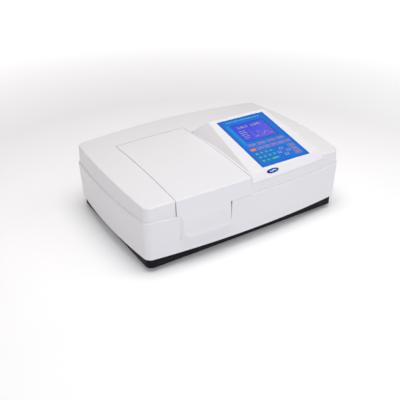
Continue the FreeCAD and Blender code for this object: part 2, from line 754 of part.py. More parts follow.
def make_grating():
    """The ruled grating's block on its turntable."""
    x, y = GRATING_AT
    table = rod(16, Vector(x, y, BENCH_TOP + 21), Vector(x, y, BENCH_TOP + 28))
    block = box((x - 17, x + 17), (y - 4, y + 4), (BENCH_TOP + 33, BENCH_TOP + 68))
    neck = box((x - 9, x + 9), (y - 4, y + 4), (BENCH_TOP + 27, BENCH_TOP + 34))
    bore = rod(
        2 + RUNNING_GAP,
        Vector(x, y, BENCH_TOP + 20),
        Vector(x, y, BENCH_TOP + 33),
    )
    return joined([table, neck, block]).cut(bore)


def make_filter_wheel():
    """A thin wheel with a ring of filter openings, turned by its motor."""
    x, y = WHEEL_AT
    disc = rod(30, Vector(x - 2, y, BEAM_Z), Vector(x + 1, y, BEAM_Z))
    hub = rod(8, Vector(x - 4, y, BEAM_Z), Vector(x + 5, y, BEAM_Z))
    wheel = joined([disc, hub])
    wheel = wheel.cut(
        rod(2 + RUNNING_GAP, Vector(x - 7, y, BEAM_Z), Vector(x + 9, y, BEAM_Z))
    )
    for index in range(8):
        turn = math.radians(45 * index)
        hole_y = y + 20 * math.cos(turn)
        hole_z = BEAM_Z + 20 * math.sin(turn)
        start = Vector(x - 10, hole_y, hole_z)
        wheel = wheel.cut(rod(5.5, start, Vector(x + 10, hole_y, hole_z)))
    return wheel


def make_lamp_house():
    """A sheet-metal box with an open top and a slot towards the source mirror."""
    z = (BENCH_TOP, 150.0)
    outer = box(LAMP_HOUSE_X, LAMP_HOUSE_Y, z)
    x = (LAMP_HOUSE_X[0] + 2, LAMP_HOUSE_X[1] - 2)
    y = (LAMP_HOUSE_Y[0] + 2, LAMP_HOUSE_Y[1] - 2)
    shell = outer.cut(box(x, y, (z[0] + 2, z[1] + 1)))
    slot_y = (MIRROR_AT[1] - 30, MIRROR_AT[1] + 30)
    return shell.cut(box((x[0] - 5, x[0] + 2), slot_y, (BEAM_Z - 12, BEAM_Z + 12)))


def make_source_lamps():
    """The deuterium lamp in its round envelope and the small halogen bulb."""
    floor = BENCH_TOP + 2
    tall = (225.0, MID_Y + 80.0)
    small = (240.0, MID_Y + 30.0)
    base = rod(17, Vector(tall[0], tall[1], floor), Vector(tall[0], tall[1], floor + 24))
    bulb = rod(14, Vector(tall[0], tall[1], floor + 24), Vector(tall[0], tall[1], 128))
    dome = Part.makeSphere(14, Vector(tall[0], tall[1], 128))
    socket = box(
        (small[0] - 12, small[0] + 12), (small[1] - 8, small[1] + 8), (floor, floor + 32)
    )
    stem = rod(5, Vector(small[0], small[1], floor + 32), Vector(small[0], small[1], 112))
    tip = Part.makeSphere(5, Vector(small[0], small[1], 112))
    lamps = [joined([base, bulb, dome]), joined([socket, stem, tip])]
    return Part.makeCompound(lamps)


def make_fixed_mirrors():
    """Slit plates and the mirrors that fold the light into two beams."""
    stands = (
        (30.0, MID_Y + 50.0, 35.0),
        (100.0, MID_Y - 130.0, -50.0),
        (30.0, MID_Y - 130.0, 25.0),
        (10.0, BEAMS_Y[0], 45.0),
        (10.0, BEAMS_Y[1], 45.0),
    )
    solids = []
    for x, y, turn in stands:
        post = rod(6, Vector(0, 0, BENCH_TOP), Vector(0, 0, BEAM_Z - 14))
        plate = box((-3, 3), (-17, 17), (BEAM_Z - 18, BEAM_Z + 17))
        mirror = post.fuse(plate)
        mirror.Placement = Placement(Vector(x, y, 0), Rotation(Z_AXIS, turn))
        solids.append(mirror)
    for x in (60.0, 145.0):
        y = MID_Y + 30.0 if x < 100 else MID_Y - 20.0
        plate = box((x - 1, x + 1), (y - 15, y + 15), (BENCH_TOP, BEAM_Z + 20))
        gap = box((x - 3, x + 3), (y - 0.5, y + 0.5), (BEAM_Z - 8, BEAM_Z + 8))
        solids.append(plate.cut(gap))
    return Part.makeCompound(solids)


def make_detectors():
    """One detector box behind each beam window of the compartment."""
    solids = []
    for y in BEAMS_Y:
        case = box((-278, -232), (y - 18, y + 18), (BENCH_TOP, BEAM_Z + 22))
        snout = rod(9, Vector(-240, y, BEAM_Z), Vector(TUB_LEFT - 1, y, BEAM_Z))
        bore = rod(6, Vector(-236, y, BEAM_Z), Vector(0, y, BEAM_Z))
        solids.append(case.fuse(snout).cut(bore))
    return Part.makeCompound(solids)


def board_solids(x, y, z, blocks):
    """A circuit board on four spacers with component blocks on it."""
    board = box(x, y, (z, z + 1.6))
    solids = [board]
    for post_x in (x[0] + 6, x[1] - 6):
        for post_y in (y[0] + 6, y[1] - 6):
            foot = Vector(post_x, post_y, TRAY_FLOOR)
            solids.append(rod(3, foot, Vector(post_x, post_y, z)))
    for low, high, tall in blocks:
        block_x = (x[0] + low[0], x[0] + high[0])
        block_y = (y[0] + low[1], y[0] + high[1])
        solids.append(box(block_x, block_y, (z + 1.6, z + 1.6 + tall)))
    return solids


def make_circuit_boards():
    rear = (MID_Y + 128.0, MID_Y + 178.0)
    chips = [
        ((20, 14), (44, 38), 3.0),
        ((60, 10), (74, 24), 2.5),
        ((90, 16), (120, 34), 8.0),
        ((130, 8), (140, 44), 9.0),
    ]
    power = [
        ((10, 10), (44, 40), 30.0),
        ((54, 12), (64, 38), 34.0),
        ((72, 10), (90, 26), 24.0),
    ]
    solids = board_solids((-145.0, 5.0), rear, 24.0, chips)
    solids += board_solids((40.0, 142.0), rear, 24.0, power)
    return Part.makeCompound(solids)


def make_rear_panel():
    """The metal panel behind the casing's rear window, with its cut-outs."""
    edge = 5.0
    sheet = box(
        (-WINDOW_HALF - edge, WINDOW_HALF + edge),
        (PANEL_FRONT, PANEL_BACK),
        (WINDOW_LOW - edge, WINDOW_HIGH + edge - 2),
    )
    through = (PANEL_FRONT - 5, PANEL_BACK + 5)
    sheet = sheet.cut(box((154, 222), through, (INLET_Z - 13, INLET_Z + 13)))
    sheet = sheet.cut(box((USB_X - 7, USB_X + 7), through, (PORTS_Z - 7, PORTS_Z + 7)))
    serial = box((SERIAL_X - 10, SERIAL_X + 10), through, (PORTS_Z - 6, PORTS_Z + 6))
    sheet = sheet.cut(serial)
    for ring in (10.0, 16.0, 22.0):
        start = Vector(FAN_X, through[0], FAN_Z)
        end = Vector(FAN_X, through[1], FAN_Z)
        groove = rod(ring + 4, start, end).cut(rod(ring, start, end))
        for turn in (45, 135):
            bar = box((-40, 40), through, (-1.5, 1.5))
            bar.Placement = Placement(
                Vector(FAN_X, 0, FAN_Z), Rotation(Y_AXIS, turn)
            ).multiply(bar.Placement)
            groove = groove.cut(bar)
        sheet = sheet.cut(groove)
    for index in range(12):
        x = -150 + index * 8.0
        sheet = sheet.cut(box((x, x + 3.5), through, (WINDOW_LOW + 12, WINDOW_HIGH - 12)))
    for x, z in PANEL_SCREWS:
        sheet = sheet.cut(rod(1.7, Vector(x, through[0], z), Vector(x, through[1], z)))
    return sheet


def make_panel_screws():
    """Pan-head screws that hold the rear panel."""
    solids = []
    for x, z in PANEL_SCREWS:
        head = rod(3, Vector(x, PANEL_BACK, z), Vector(x, PANEL_BACK + 2, z))
        shank = rod(1.5, Vector(x, PANEL_FRONT - 6, z), Vector(x, PANEL_BACK, z))
        slot = box((x - 3, x + 3), (PANEL_BACK + 1.2, 300), (z - 0.4, z + 0.4))
        cross = box((x - 0.4, x + 0.4), (PANEL_BACK + 1.2, 300), (z - 3, z + 3))
        solids.append(head.fuse(shank).cut(slot).cut(cross))
    return Part.makeCompound(solids)


def make_mains_inlet():
    """A three-pin inlet and the switch's bezel in one moulded module."""
    flange_z = (INLET_Z - 17, INLET_Z + 17)
    flange = box((150, 226), (PANEL_BACK, PANEL_BACK + 2.5), flange_z)
    body_z = (INLET_Z - 12.8, INLET_Z + 12.8)
    body = box((154.2, 221.8), (PANEL_BACK - 27, PANEL_BACK), body_z)
    cavity_y = (PANEL_BACK - 14, PANEL_BACK + 5)
    cavity = box((INLET_X - 12, INLET_X + 12), cavity_y, (INLET_Z - 8, INLET_Z + 8))
    upright = [edge for edge in cavity.Edges if abs(edge.tangentAt(0).y) > 0.9]
    low = [edge for edge in upright if edge.CenterOfMass.z < INLET_Z]
    cavity = cavity.makeChamfer(4, low)
    well = box(
        (SWITCH_X - 7, SWITCH_X + 7),
        (PANEL_BACK - 12, PANEL_BACK + 5),
        (INLET_Z - 11.3, INLET_Z + 11.3),
    )
    module = joined([flange, body]).cut(cavity).cut(well)
    axis = (PANEL_BACK - 3, INLET_Z)
    bearing = rod(
        2 + RUNNING_GAP,
        Vector(SWITCH_X - 8.6, axis[0], axis[1]),
        Vector(SWITCH_X + 8.6, axis[0], axis[1]),
    )
    module = module.cut(bearing)
    pins = []
    for x, z in ((-6, -2), (0, 2.5), (6, -2)):
        pin_x = (INLET_X + x - 1, INLET_X + x + 1)
        pin_z = (INLET_Z + z - 2, INLET_Z + z + 2)
        pins.append(box(pin_x, (PANEL_BACK - 14, PANEL_BACK - 5), pin_z))
    return joined([module] + pins)


def make_power_switch():
    """A rocker on two side pins, resting with its lower half pressed in."""
    half = 10.4
    tilt = math.radians(9)
    reach = half * math.sin(tilt) / math.cos(tilt)
    face_y = 3.4
    points = [
        (-7.0, -4.0),
        (face_y + reach, -half),
        (face_y, 0.0),
        (face_y + reach, half),
        (-7.0, 4.0),
    ]
    corners = [Vector(SWITCH_X - 6.6, y, z) for y, z in points]
    rocker = Part.Face(Part.makePolygon(corners + corners[:1])).extrude(Vector(13.2, 0, 0))
    pins = rod(2, Vector(SWITCH_X - 8.4, 0, 0), Vector(SWITCH_X + 8.4, 0, 0))
    switch = rocker.fuse(pins)
    turned = Placement(Vector(0, PANEL_BACK - 3, INLET_Z), Rotation(X_AXIS, -9))
    switch.Placement = turned.multiply(switch.Placement)
    return switch


def socket_block(x, half_width, y, half_height):
    """A block centred on a data port, given its half sizes and its way in."""
    z = (PORTS_Z - half_height, PORTS_Z + half_height)
    return box((x - half_width, x + half_width), y, z)


def make_data_ports():
    """A square data socket and a nine-pin serial port."""
    usb = socket_block(USB_X, 6.8, (PANEL_BACK - 18, PANEL_BACK + 1), 6.8)
    usb = usb.cut(socket_block(USB_X, 4.4, (PANEL_BACK - 11, PANEL_BACK + 2), 4.4))
    plate = socket_block(SERIAL_X, 16.0, (PANEL_BACK, PANEL_BACK + 1), 7.0)
    shell = socket_block(SERIAL_X, 9.0, (PANEL_BACK - 10, PANEL_BACK + 5), 5.0)
    serial = plate.fuse(shell)
    upper_row = [(step * 3.0, 1.5) for step in (-2, -1, 0, 1, 2)]
    lower_row = [(step * 3.0, -1.5) for step in (-1.5, -0.5, 0.5, 1.5)]
    for across, up in upper_row + lower_row:
        mouth = Vector(SERIAL_X + across, PANEL_BACK + 5, PORTS_Z + up)
        serial = serial.cut(rod(0.6, mouth - Y_AXIS * 0.8, mouth + Y_AXIS))
    solids = [usb, serial]
    for x in (SERIAL_X - 12.5, SERIAL_X + 12.5):
        start = Vector(x, PANEL_BACK + 1, PORTS_Z)
        solids.append(rod(2.5, start, start + Y_AXIS * 4))
    return Part.makeCompound(solids)


def make_fan_frame():
    half = FAN_SIZE / 2
    y = (PANEL_FRONT - FAN_DEPTH, PANEL_FRONT)
    frame = box((FAN_X - half, FAN_X + half), y, (FAN_Z - half, FAN_Z + half))
    axis = [Vector(FAN_X, level, FAN_Z) for level in y]
    frame = frame.cut(rod(FAN_BORE, axis[0], axis[1]))
    for x in (-25, 25):
        for z in (-25, 25):
            start = Vector(FAN_X + x, y[0], FAN_Z + z)
            frame = frame.cut(rod(2.1, start, Vector(FAN_X + x, y[1], FAN_Z + z)))
    motor = rod(12, axis[0], axis[0] + Y_AXIS * 4)
    axle = rod(1.5, axis[0] + Y_AXIS * 4, axis[0] + Y_AXIS * 20)
    struts = []
    for index in range(3):
        strut = box((0, FAN_BORE + 1), (0, 3), (-1.5, 1.5))
        turn = Rotation(Y_AXIS, 30 + 120 * index)
        strut.Placement = Placement(axis[0], turn)
        struts.append(strut)
    return joined([frame, motor, axle] + struts)


def make_fan_rotor():
    start = Vector(FAN_X, PANEL_FRONT - FAN_DEPTH + 5, FAN_Z)
    end = start + Y_AXIS * 16
    hub = rod(12.5, start, end)
    blades = []
    for index in range(7):
        blade = box((10, FAN_BORE - 1.2), (-0.6, 0.6), (-7.5, 7.5))
        pitch = Placement(Vector(0, 8, 0), Rotation(X_AXIS, 50))
        spin = Placement(start, Rotation(Y_AXIS, 360 / 7 * index))
        blade.Placement = spin.multiply(pitch).multiply(blade.Placement)
        blades.append(blade)
    rotor = joined([hub] + blades)
    return rotor.cut(rod(1.5 + RUNNING_GAP, start, end))


os.makedirs("parts", exist_ok=True)

save("base_tray", make_base_tray())
save("rubber_feet", make_rubber_feet())
save("lower_casing", make_lower_casing())
save("upper_cover", make_upper_cover())
save("console_housing", make_console_housing())
save("keypad_overlay", make_keypad_overlay())
save("display_module", make_display_module())
save("console_badge", make_console_badge())
save("sample_lid", make_sample_lid())
save("lid_hinge_arms", make_lid_hinge_arms())
save("lid_hinge_brackets", make_lid_hinge_brackets())
save("lid_light_seal", make_lid_light_seal())
save("sample_compartment", make_sample_compartment())
save("cell_holder", make_cell_holder())
save("sample_cuvette", make_cuvette(BEAMS_Y[0]))
save("reference_cuvette", make_cuvette(BEAMS_Y[1]))
save("optical_bench", make_optical_bench())
save("source_mirror", make_source_mirror())
save("grating", make_grating())
save("filter_wheel", make_filter_wheel())
save("lamp_house", make_lamp_house())
save("source_lamps", make_source_lamps())
save("fixed_mirrors", make_fixed_mirrors())
save("detectors", make_detectors())
save("circuit_boards", make_circuit_boards())
save("rear_panel", make_rear_panel())
save("panel_screws", make_panel_screws())
save("mains_inlet", make_mains_inlet())
save("power_switch", make_power_switch())
save("data_ports", make_data_ports())
save("fan_frame", make_fan_frame())
save("fan_rotor", make_fan_rotor())
for key_name, key_centre, key_width, key_height in key_plan():
    save(key_name, make_key(key_centre, key_width, key_height))
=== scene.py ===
import json
import math

import bmesh
import bpy
from mathutils import Matrix, Vector


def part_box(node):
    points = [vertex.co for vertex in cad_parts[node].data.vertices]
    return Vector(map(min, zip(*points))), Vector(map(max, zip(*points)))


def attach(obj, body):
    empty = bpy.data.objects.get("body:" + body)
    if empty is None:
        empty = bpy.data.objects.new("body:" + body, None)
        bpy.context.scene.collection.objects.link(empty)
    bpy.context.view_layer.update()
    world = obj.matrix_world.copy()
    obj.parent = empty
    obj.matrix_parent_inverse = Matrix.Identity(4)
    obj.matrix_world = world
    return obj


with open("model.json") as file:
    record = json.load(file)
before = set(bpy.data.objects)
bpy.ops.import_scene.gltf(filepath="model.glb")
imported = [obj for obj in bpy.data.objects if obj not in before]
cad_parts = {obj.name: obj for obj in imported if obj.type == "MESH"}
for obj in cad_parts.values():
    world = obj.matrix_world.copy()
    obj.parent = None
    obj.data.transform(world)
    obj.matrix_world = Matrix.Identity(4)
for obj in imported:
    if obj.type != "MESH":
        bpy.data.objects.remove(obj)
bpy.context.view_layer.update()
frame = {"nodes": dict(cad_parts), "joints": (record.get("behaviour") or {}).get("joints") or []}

# The bench and the light. The instrument stands on a pale laminate bench top that glows
# more with distance, so that it fades into a white room. A wide cool lamp stands in front,
# a soft one hangs overhead, and a small one at the right picks out the edges.
scene = bpy.context.scene
scene.view_settings.view_transform = "Standard"


def blank_finish(name):
    """A new material, with its nodes, its links and its main shader."""
    made = bpy.data.materials.new(name)
    made.use_nodes = True
    nodes = made.node_tree.nodes
    return made, nodes, made.node_tree.links, nodes["Principled BSDF"]


def blend_tints(nodes, links, share, first, second):
    """A colour that runs from the first tint to the second as the share rises."""
    blend = nodes.new("ShaderNodeMix")
    blend.data_type = "RGBA"
    blend.inputs["A"].default_value = (*first, 1.0)
    blend.inputs["B"].default_value = (*second, 1.0)
    links.new(share, blend.inputs["Factor"])
    return blend.outputs["Result"]


def spread(nodes, links, value, low, high, start=0.0, end=1.0):
    """A value that runs from low to high while the one given runs from start to end."""
    stretch = nodes.new("ShaderNodeMapRange")
    stretch.inputs["From Min"].default_value = start
    stretch.inputs["From Max"].default_value = end
    stretch.inputs["To Min"].default_value = low
    stretch.inputs["To Max"].default_value = high
    links.new(value, stretch.inputs["Value"])
    return stretch.outputs["Result"]


def pale_laminate():
    """A white work surface with a faint speckle and a glow that grows away from the middle."""
    made, nodes, links, shader = blank_finish("pale_bench_top")
    shader.inputs["Roughness"].default_value = 0.6
    shader.inputs["Emission Strength"].default_value = 1.0
    place = nodes.new("ShaderNodeTexCoord")
    reach = nodes.new("ShaderNodeVectorMath")
    reach.operation = "LENGTH"
    links.new(place.outputs["Object"], reach.inputs[0])
    glow = spread(nodes, links, reach.outputs["Value"], 0.12, 0.8, 0.9, 2.4)
    links.new(glow, shader.inputs["Emission Color"])
    speckle = nodes.new("ShaderNodeTexNoise")
    speckle.inputs["Scale"].default_value = 60.0
    tint = blend_tints(
        nodes, links, speckle.outputs["Fac"], (0.93, 0.93, 0.935), (0.96, 0.96, 0.96)
    )
    links.new(tint, shader.inputs["Base Color"])
    return made


bench_reach = 6
bench_corners = [(x, y, 0) for x, y in ((-1, -1), (1, -1), (1, 1), (-1, 1))]
bench_mesh = bpy.data.meshes.new("bench")
bench_mesh.from_pydata([Vector(c) * bench_reach for c in bench_corners], [], [(0, 1, 2, 3)])
bench_mesh.materials.append(pale_laminate())
bench = bpy.data.objects.new("bench", bench_mesh)
scene.collection.objects.link(bench)

room = bpy.data.worlds.new("white_room")
room.use_nodes = True
room.node_tree.nodes["Background"].inputs["Color"].default_value = (1.0, 0.965, 0.955, 1.0)
room.node_tree.nodes["Background"].inputs["Strength"].default_value = 0.37
scene.world = room

instrument_middle = Vector((0.0, 0.0, 0.1))


def soft_lamp(name, place, width, watts, colour):
    """A square soft box that points from its place at the instrument."""
    light = bpy.data.lights.new(name, "AREA")
    light.size = width
    light.energy = watts
    light.color = colour
    lamp = bpy.data.objects.new(name, light)
    lamp.location = place
    beam = instrument_middle - Vector(place)
    lamp.rotation_euler = beam.to_track_quat("-Z", "Y").to_euler()
    scene.collection.objects.link(lamp)


soft_lamp("lamp_front", (-0.6, -2.6, 1.0), 1.6, 10.5, (0.76, 0.87, 1.12))
soft_lamp("lamp_edges", (0.9, -0.75, 1.6), 0.8, 4.0, (1.0, 1.0, 1.0))
soft_lamp("lamp_overhead", (-0.15, -0.3, 1.9), 1.2, 21.0, (1.0, 0.985, 0.985))

# The viewpoint: a standing user's view from the front left, looking down at the top.
turn = math.radians(32.077)
dip = math.radians(29.819)
roll = math.radians(-0.533)
ahead = Vector((math.sin(turn) * math.cos(dip), math.cos(turn) * math.cos(dip), -math.sin(dip)))
level = Vector((math.cos(turn), -math.sin(turn), 0.0))
upward = level.cross(ahead)
right = level * math.cos(roll) + upward * math.sin(roll)
up = upward * math.cos(roll) - level * math.sin(roll)
viewer = bpy.data.cameras.new("viewer")
viewer.lens = 51.23
viewer.sensor_width = 36.0
viewer.clip_end = 50.0
camera = bpy.data.objects.new("viewer", viewer)
stance = Matrix((right, up, -ahead)).transposed().to_4x4()
eye = (-0.7716, -1.1855, 0.8311)
camera.matrix_world = Matrix.Translation(eye) @ stance
scene.collection.objects.link(camera)
scene.camera = camera

# The casing, upper cover, console housing and lid. Each is a thick-walled shell of white
# ABS, injection moulded with a fine spark texture so that it doesn't show fingers.


def moulded_skin_group():
    """Spark-eroded tool texture and the slow colour drift of a moulded shell."""
    group = bpy.data.node_groups.new("moulded_skin", "ShaderNodeTree")
    for label, value in (("Grain Scale", 900.0), ("Drift Scale", 5.0)):
        socket = group.interface.new_socket(label, in_out="INPUT", socket_type="NodeSocketFloat")
        socket.default_value = value
    for label in ("Grain", "Drift", "Handling"):
        group.interface.new_socket(label, in_out="OUTPUT", socket_type="NodeSocketFloat")
    given = group.nodes.new("NodeGroupInput")
    result = group.nodes.new("NodeGroupOutput")
    place = group.nodes.new("ShaderNodeTexCoord")
    grain = group.nodes.new("ShaderNodeTexNoise")
    grain.inputs["Detail"].default_value = 3.0
    grain.inputs["Roughness"].default_value = 0.6
    drift = group.nodes.new("ShaderNodeTexNoise")
    drift.inputs["Detail"].default_value = 2.0
    handling = group.nodes.new("ShaderNodeTexNoise")
    handling.inputs["Scale"].default_value = 28.0
    handling.inputs["Detail"].default_value = 5.0
    for noise in (grain, drift, handling):
        group.links.new(place.outputs["Object"], noise.inputs["Vector"])
    group.links.new(given.outputs["Grain Scale"], grain.inputs["Scale"])
    group.links.new(given.outputs["Drift Scale"], drift.inputs["Scale"])
    group.links.new(grain.outputs["Fac"], result.inputs["Grain"])
    group.links.new(drift.outputs["Fac"], result.inputs["Drift"])
    group.links.new(handling.outputs["Fac"], result.inputs["Handling"])
    return group


moulded_skin = moulded_skin_group()


def press_relief(nodes, links, shader, height, strength, depth):
    """A fine relief on the surface, given its height mask and its depth in metres."""
    bump = nodes.new("ShaderNodeBump")
    bump.inputs["Strength"].default_value = strength
    bump.inputs["Distance"].default_value = depth
    links.new(height, bump.inputs["Height"])
    links.new(bump.outputs["Normal"], shader.inputs["Normal"])


def moulded_plastic(name, light_tint, dark_tint, gloss, grain_scale, grain_depth, shine=0.5):
    """A plastic with tool texture; gloss is the lowest and highest roughness."""
    made, nodes, links, shader = blank_finish(name)
    shader.inputs["Specular IOR Level"].default_value = shine
    skin = nodes.new("ShaderNodeGroup")
    skin.node_tree = moulded_skin
    skin.inputs["Grain Scale"].default_value = grain_scale
    skin.inputs["Drift Scale"].default_value = 5.0
    tint = blend_tints(nodes, links, skin.outputs["Drift"], dark_tint, light_tint)
    links.new(tint, shader.inputs["Base Color"])
    rough = spread(nodes, links, skin.outputs["Handling"], gloss[0], gloss[1], 0.35, 0.65)
    links.new(rough, shader.inputs["Roughness"])
    press_relief(nodes, links, shader, skin.outputs["Grain"], 0.35, grain_depth)
    return made


def coat(material, *names):
    """Puts a finish on whole parts."""
    for name in names:
        part = frame["nodes"][name]
        if not part.material_slots:
            part.data.materials.append(material)
        for place in part.material_slots:
            place.material = material


shell_white = moulded_plastic(
    "shell_white", (0.81, 0.80, 0.81), (0.78, 0.77, 0.785), (0.30, 0.38), 1500.0, 0.00003
)
coat(shell_white, "lower_casing", "upper_cover", "console_housing", "sample_lid")

# The base tray is a shallow near-black moulding that the casing screws down to. Its side
# wall is a fine satin texture, its gloss varying a little at random from place to place.
base_black = moulded_plastic(
    "base_black", (0.011, 0.010, 0.014), (0.006, 0.005, 0.008), (0.38, 0.6), 1100.0, 0.00012, 0.1
)
coat(base_black, "base_tray")

# Four rubber feet under the base tray, moulded in black nitrile. Each has a socket in its
# underside for the head of the screw that holds it.
foot_rubber = moulded_plastic(
    "foot_rubber", (0.030, 0.029, 0.029), (0.018, 0.018, 0.018), (0.7, 0.9), 600.0, 0.0002
)
coat(foot_rubber, "rubber_feet")

# The keypad overlay: one sheet of polyester film, printed from behind in strong blue,
# glued into a shallow recess in the console's sloping top.
key_press = next(joint for joint in frame["joints"] if joint["name"] == "reset_key_press")
panel_up = -Vector(key_press["axis"]).normalized()
panel_right = Vector((1.0, 0.0, 0.0))
panel_back = panel_up.cross(panel_right)
overlay_low, overlay_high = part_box("keypad_overlay")
film_top = 0.0003
panel_middle = (overlay_low + overlay_high) / 2 + panel_up * film_top / 2
panel_axes = Matrix((panel_right, panel_back, panel_up)).transposed().to_4x4()
panel_place = Matrix.Translation(panel_middle) @ panel_axes


def panel_place_group():
    """Distances across, up and out of the sloping panel, in millimetres."""
    group = bpy.data.node_groups.new("panel_place", "ShaderNodeTree")
    for label in ("Across", "Along", "Out"):
        group.interface.new_socket(label, in_out="OUTPUT", socket_type="NodeSocketFloat")
    result = group.nodes.new("NodeGroupOutput")
    place = group.nodes.new("ShaderNodeTexCoord")
    offset = group.nodes.new("ShaderNodeVectorMath")
    offset.operation = "SUBTRACT"
    offset.inputs[1].default_value = panel_middle
    group.links.new(place.outputs["Object"], offset.inputs[0])
    for label, way in (("Across", panel_right), ("Along", panel_back), ("Out", panel_up)):
        dot = group.nodes.new("ShaderNodeVectorMath")
        dot.operation = "DOT_PRODUCT"
        dot.inputs[1].default_value = way * 1000.0
        group.links.new(offset.outputs["Vector"], dot.inputs[0])
        group.links.new(dot.outputs["Value"], result.inputs[label])
    return group


panel_place_nodes = panel_place_group()


def printed_film(name, colour, deep_colour, roughness):
    """Back-printed polyester: a slightly clouded ink under an orange-peel skin."""
    made, nodes, links, shader = blank_finish(name)
    shader.inputs["Specular IOR Level"].default_value = 0.22
    place = nodes.new("ShaderNodeTexCoord")
    peel = nodes.new("ShaderNodeTexVoronoi")
    peel.feature = "SMOOTH_F1"
    peel.inputs["Scale"].default_value = 1300.0
    links.new(place.outputs["Object"], peel.inputs["Vector"])
    cloud = nodes.new("ShaderNodeTexNoise")
    cloud.inputs["Scale"].default_value = 22.0
    cloud.inputs["Detail"].default_value = 4.0
    links.new(place.outputs["Object"], cloud.inputs["Vector"])
    ink = blend_tints(nodes, links, cloud.outputs["Fac"], deep_colour, colour)
    links.new(ink, shader.inputs["Base Color"])
    sheen = spread(nodes, links, cloud.outputs["Fac"], roughness - 0.06, roughness + 0.06)
    links.new(sheen, shader.inputs["Roughness"])
    press_relief(nodes, links, shader, peel.outputs["Distance"], 0.2, 0.00004)
    return made


film_blue = printed_film("film_blue", (0.006, 0.170, 0.630), (0.004, 0.140, 0.580), 0.34)
coat(film_blue, "keypad_overlay")

# The overlay's printing: a thin dark line inside the edge, a pale header strip of short
# dashes, a lighter strip beside the screen window and a dark line round the window.


def box_outline(across, along, width, height):
    """Corner points of an upright box on the panel, in millimetres."""
    half_w = width / 2
    half_h = height / 2
    return [
        (across - half_w, along - half_h),
        (across + half_w, along - half_h),
        (across + half_w, along + half_h),
        (across - half_w, along + half_h),
    ]


def ring_outlines(across, along, width, height, line):
    """Four bars that make a printed frame of one line width."""
    reach_w = (width - line) / 2
    reach_h = (height - line) / 2
    return [
        box_outline(across, along - reach_h, width, line),
        box_outline(across, along + reach_h, width, line),
        box_outline(across - reach_w, along, line, height - 2 * line),
        box_outline(across + reach_w, along, line, height - 2 * line),
    ]


def finished_piece(name, shape, place, finish, body):
    """Puts a built shape in its place, with its finish, and fixes it to its body."""
    shape.transform(place)
    mesh = bpy.data.meshes.new(name)
    shape.to_mesh(mesh)
    shape.free()
    mesh.materials.append(finish)
    piece = bpy.data.objects.new(name, mesh)
    scene.collection.objects.link(piece)
    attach(piece, body)
    return piece


def print_on_panel(name, outlines, base, thick, ink, body):
    """Raised ink on the sloping panel: each outline becomes a thin closed slab."""
    ink_mesh = bmesh.new()
    for outline in outlines:
        low = [ink_mesh.verts.new((x / 1000, y / 1000, base)) for x, y in outline]
        high = [ink_mesh.verts.new((x / 1000, y / 1000, base + thick)) for x, y in outline]
        ink_mesh.faces.new(list(reversed(low)))
        ink_mesh.faces.new(high)
        for index in range(len(outline)):
            after = (index + 1) % len(outline)
            ink_mesh.faces.new((low[index], low[after], high[after], high[index]))
    return finished_piece(name, ink_mesh, panel_place, ink, body)


film_length = 214.0
film_width = 156.0
window_across = 2.0
window_along = 39.5
window_width = 105.0
window_length = 75.0
ink_thick = 0.00004
dark_ink = printed_film("dark_blue_ink", (0.010, 0.060, 0.300), (0.008, 0.045, 0.250), 0.4)
pale_ink = printed_film("pale_blue_ink", (0.12, 0.38, 0.70), (0.09, 0.33, 0.65), 0.4)
bright_ink = printed_film("bright_blue_ink", (0.016, 0.240, 0.680), (0.012, 0.210, 0.640), 0.4)

edge_margin = 9.0
window_margin = 5
border = ring_outlines(0.0, 0.0, film_width - edge_margin, film_length - edge_margin, 1.2)
border += ring_outlines(
    window_across,
    window_along,
    window_width + window_margin,
    window_length + window_margin,
    1.6,
)
print_on_panel("overlay_border_ink", border, film_top, ink_thick, dark_ink, "instrument")
header_along = 94.5
dash_height = 4.2
dash_gap = 2.2
dash_start = -56.0
dashes = []
for dash_width in (4.0, 9.0, 6.5, 12.0, 5.0, 10.5, 8.0, 13.0, 6.0, 9.5, 7.0):
    dash_middle = dash_start + dash_width / 2
    dashes.append(box_outline(dash_middle, header_along, dash_width, dash_height))
    dash_start += dash_width + dash_gap
print_on_panel("overlay_header_ink", dashes, film_top, ink_thick, pale_ink, "instrument")
strip_across = -60.5
strip_along = 34.0
strip_width = 9.0
strip_length = 92.0
strip = [box_outline(strip_across, strip_along, strip_width, strip_length)]
print_on_panel("overlay_strip_ink", strip, film_top, ink_thick, bright_ink, "instrument")

# The screen: a blue transmissive liquid-crystal cell with a white lamp behind it, brighter
# in the middle and falling off to violet at the far corner, over a green circuit board.
glass_back = -5.45


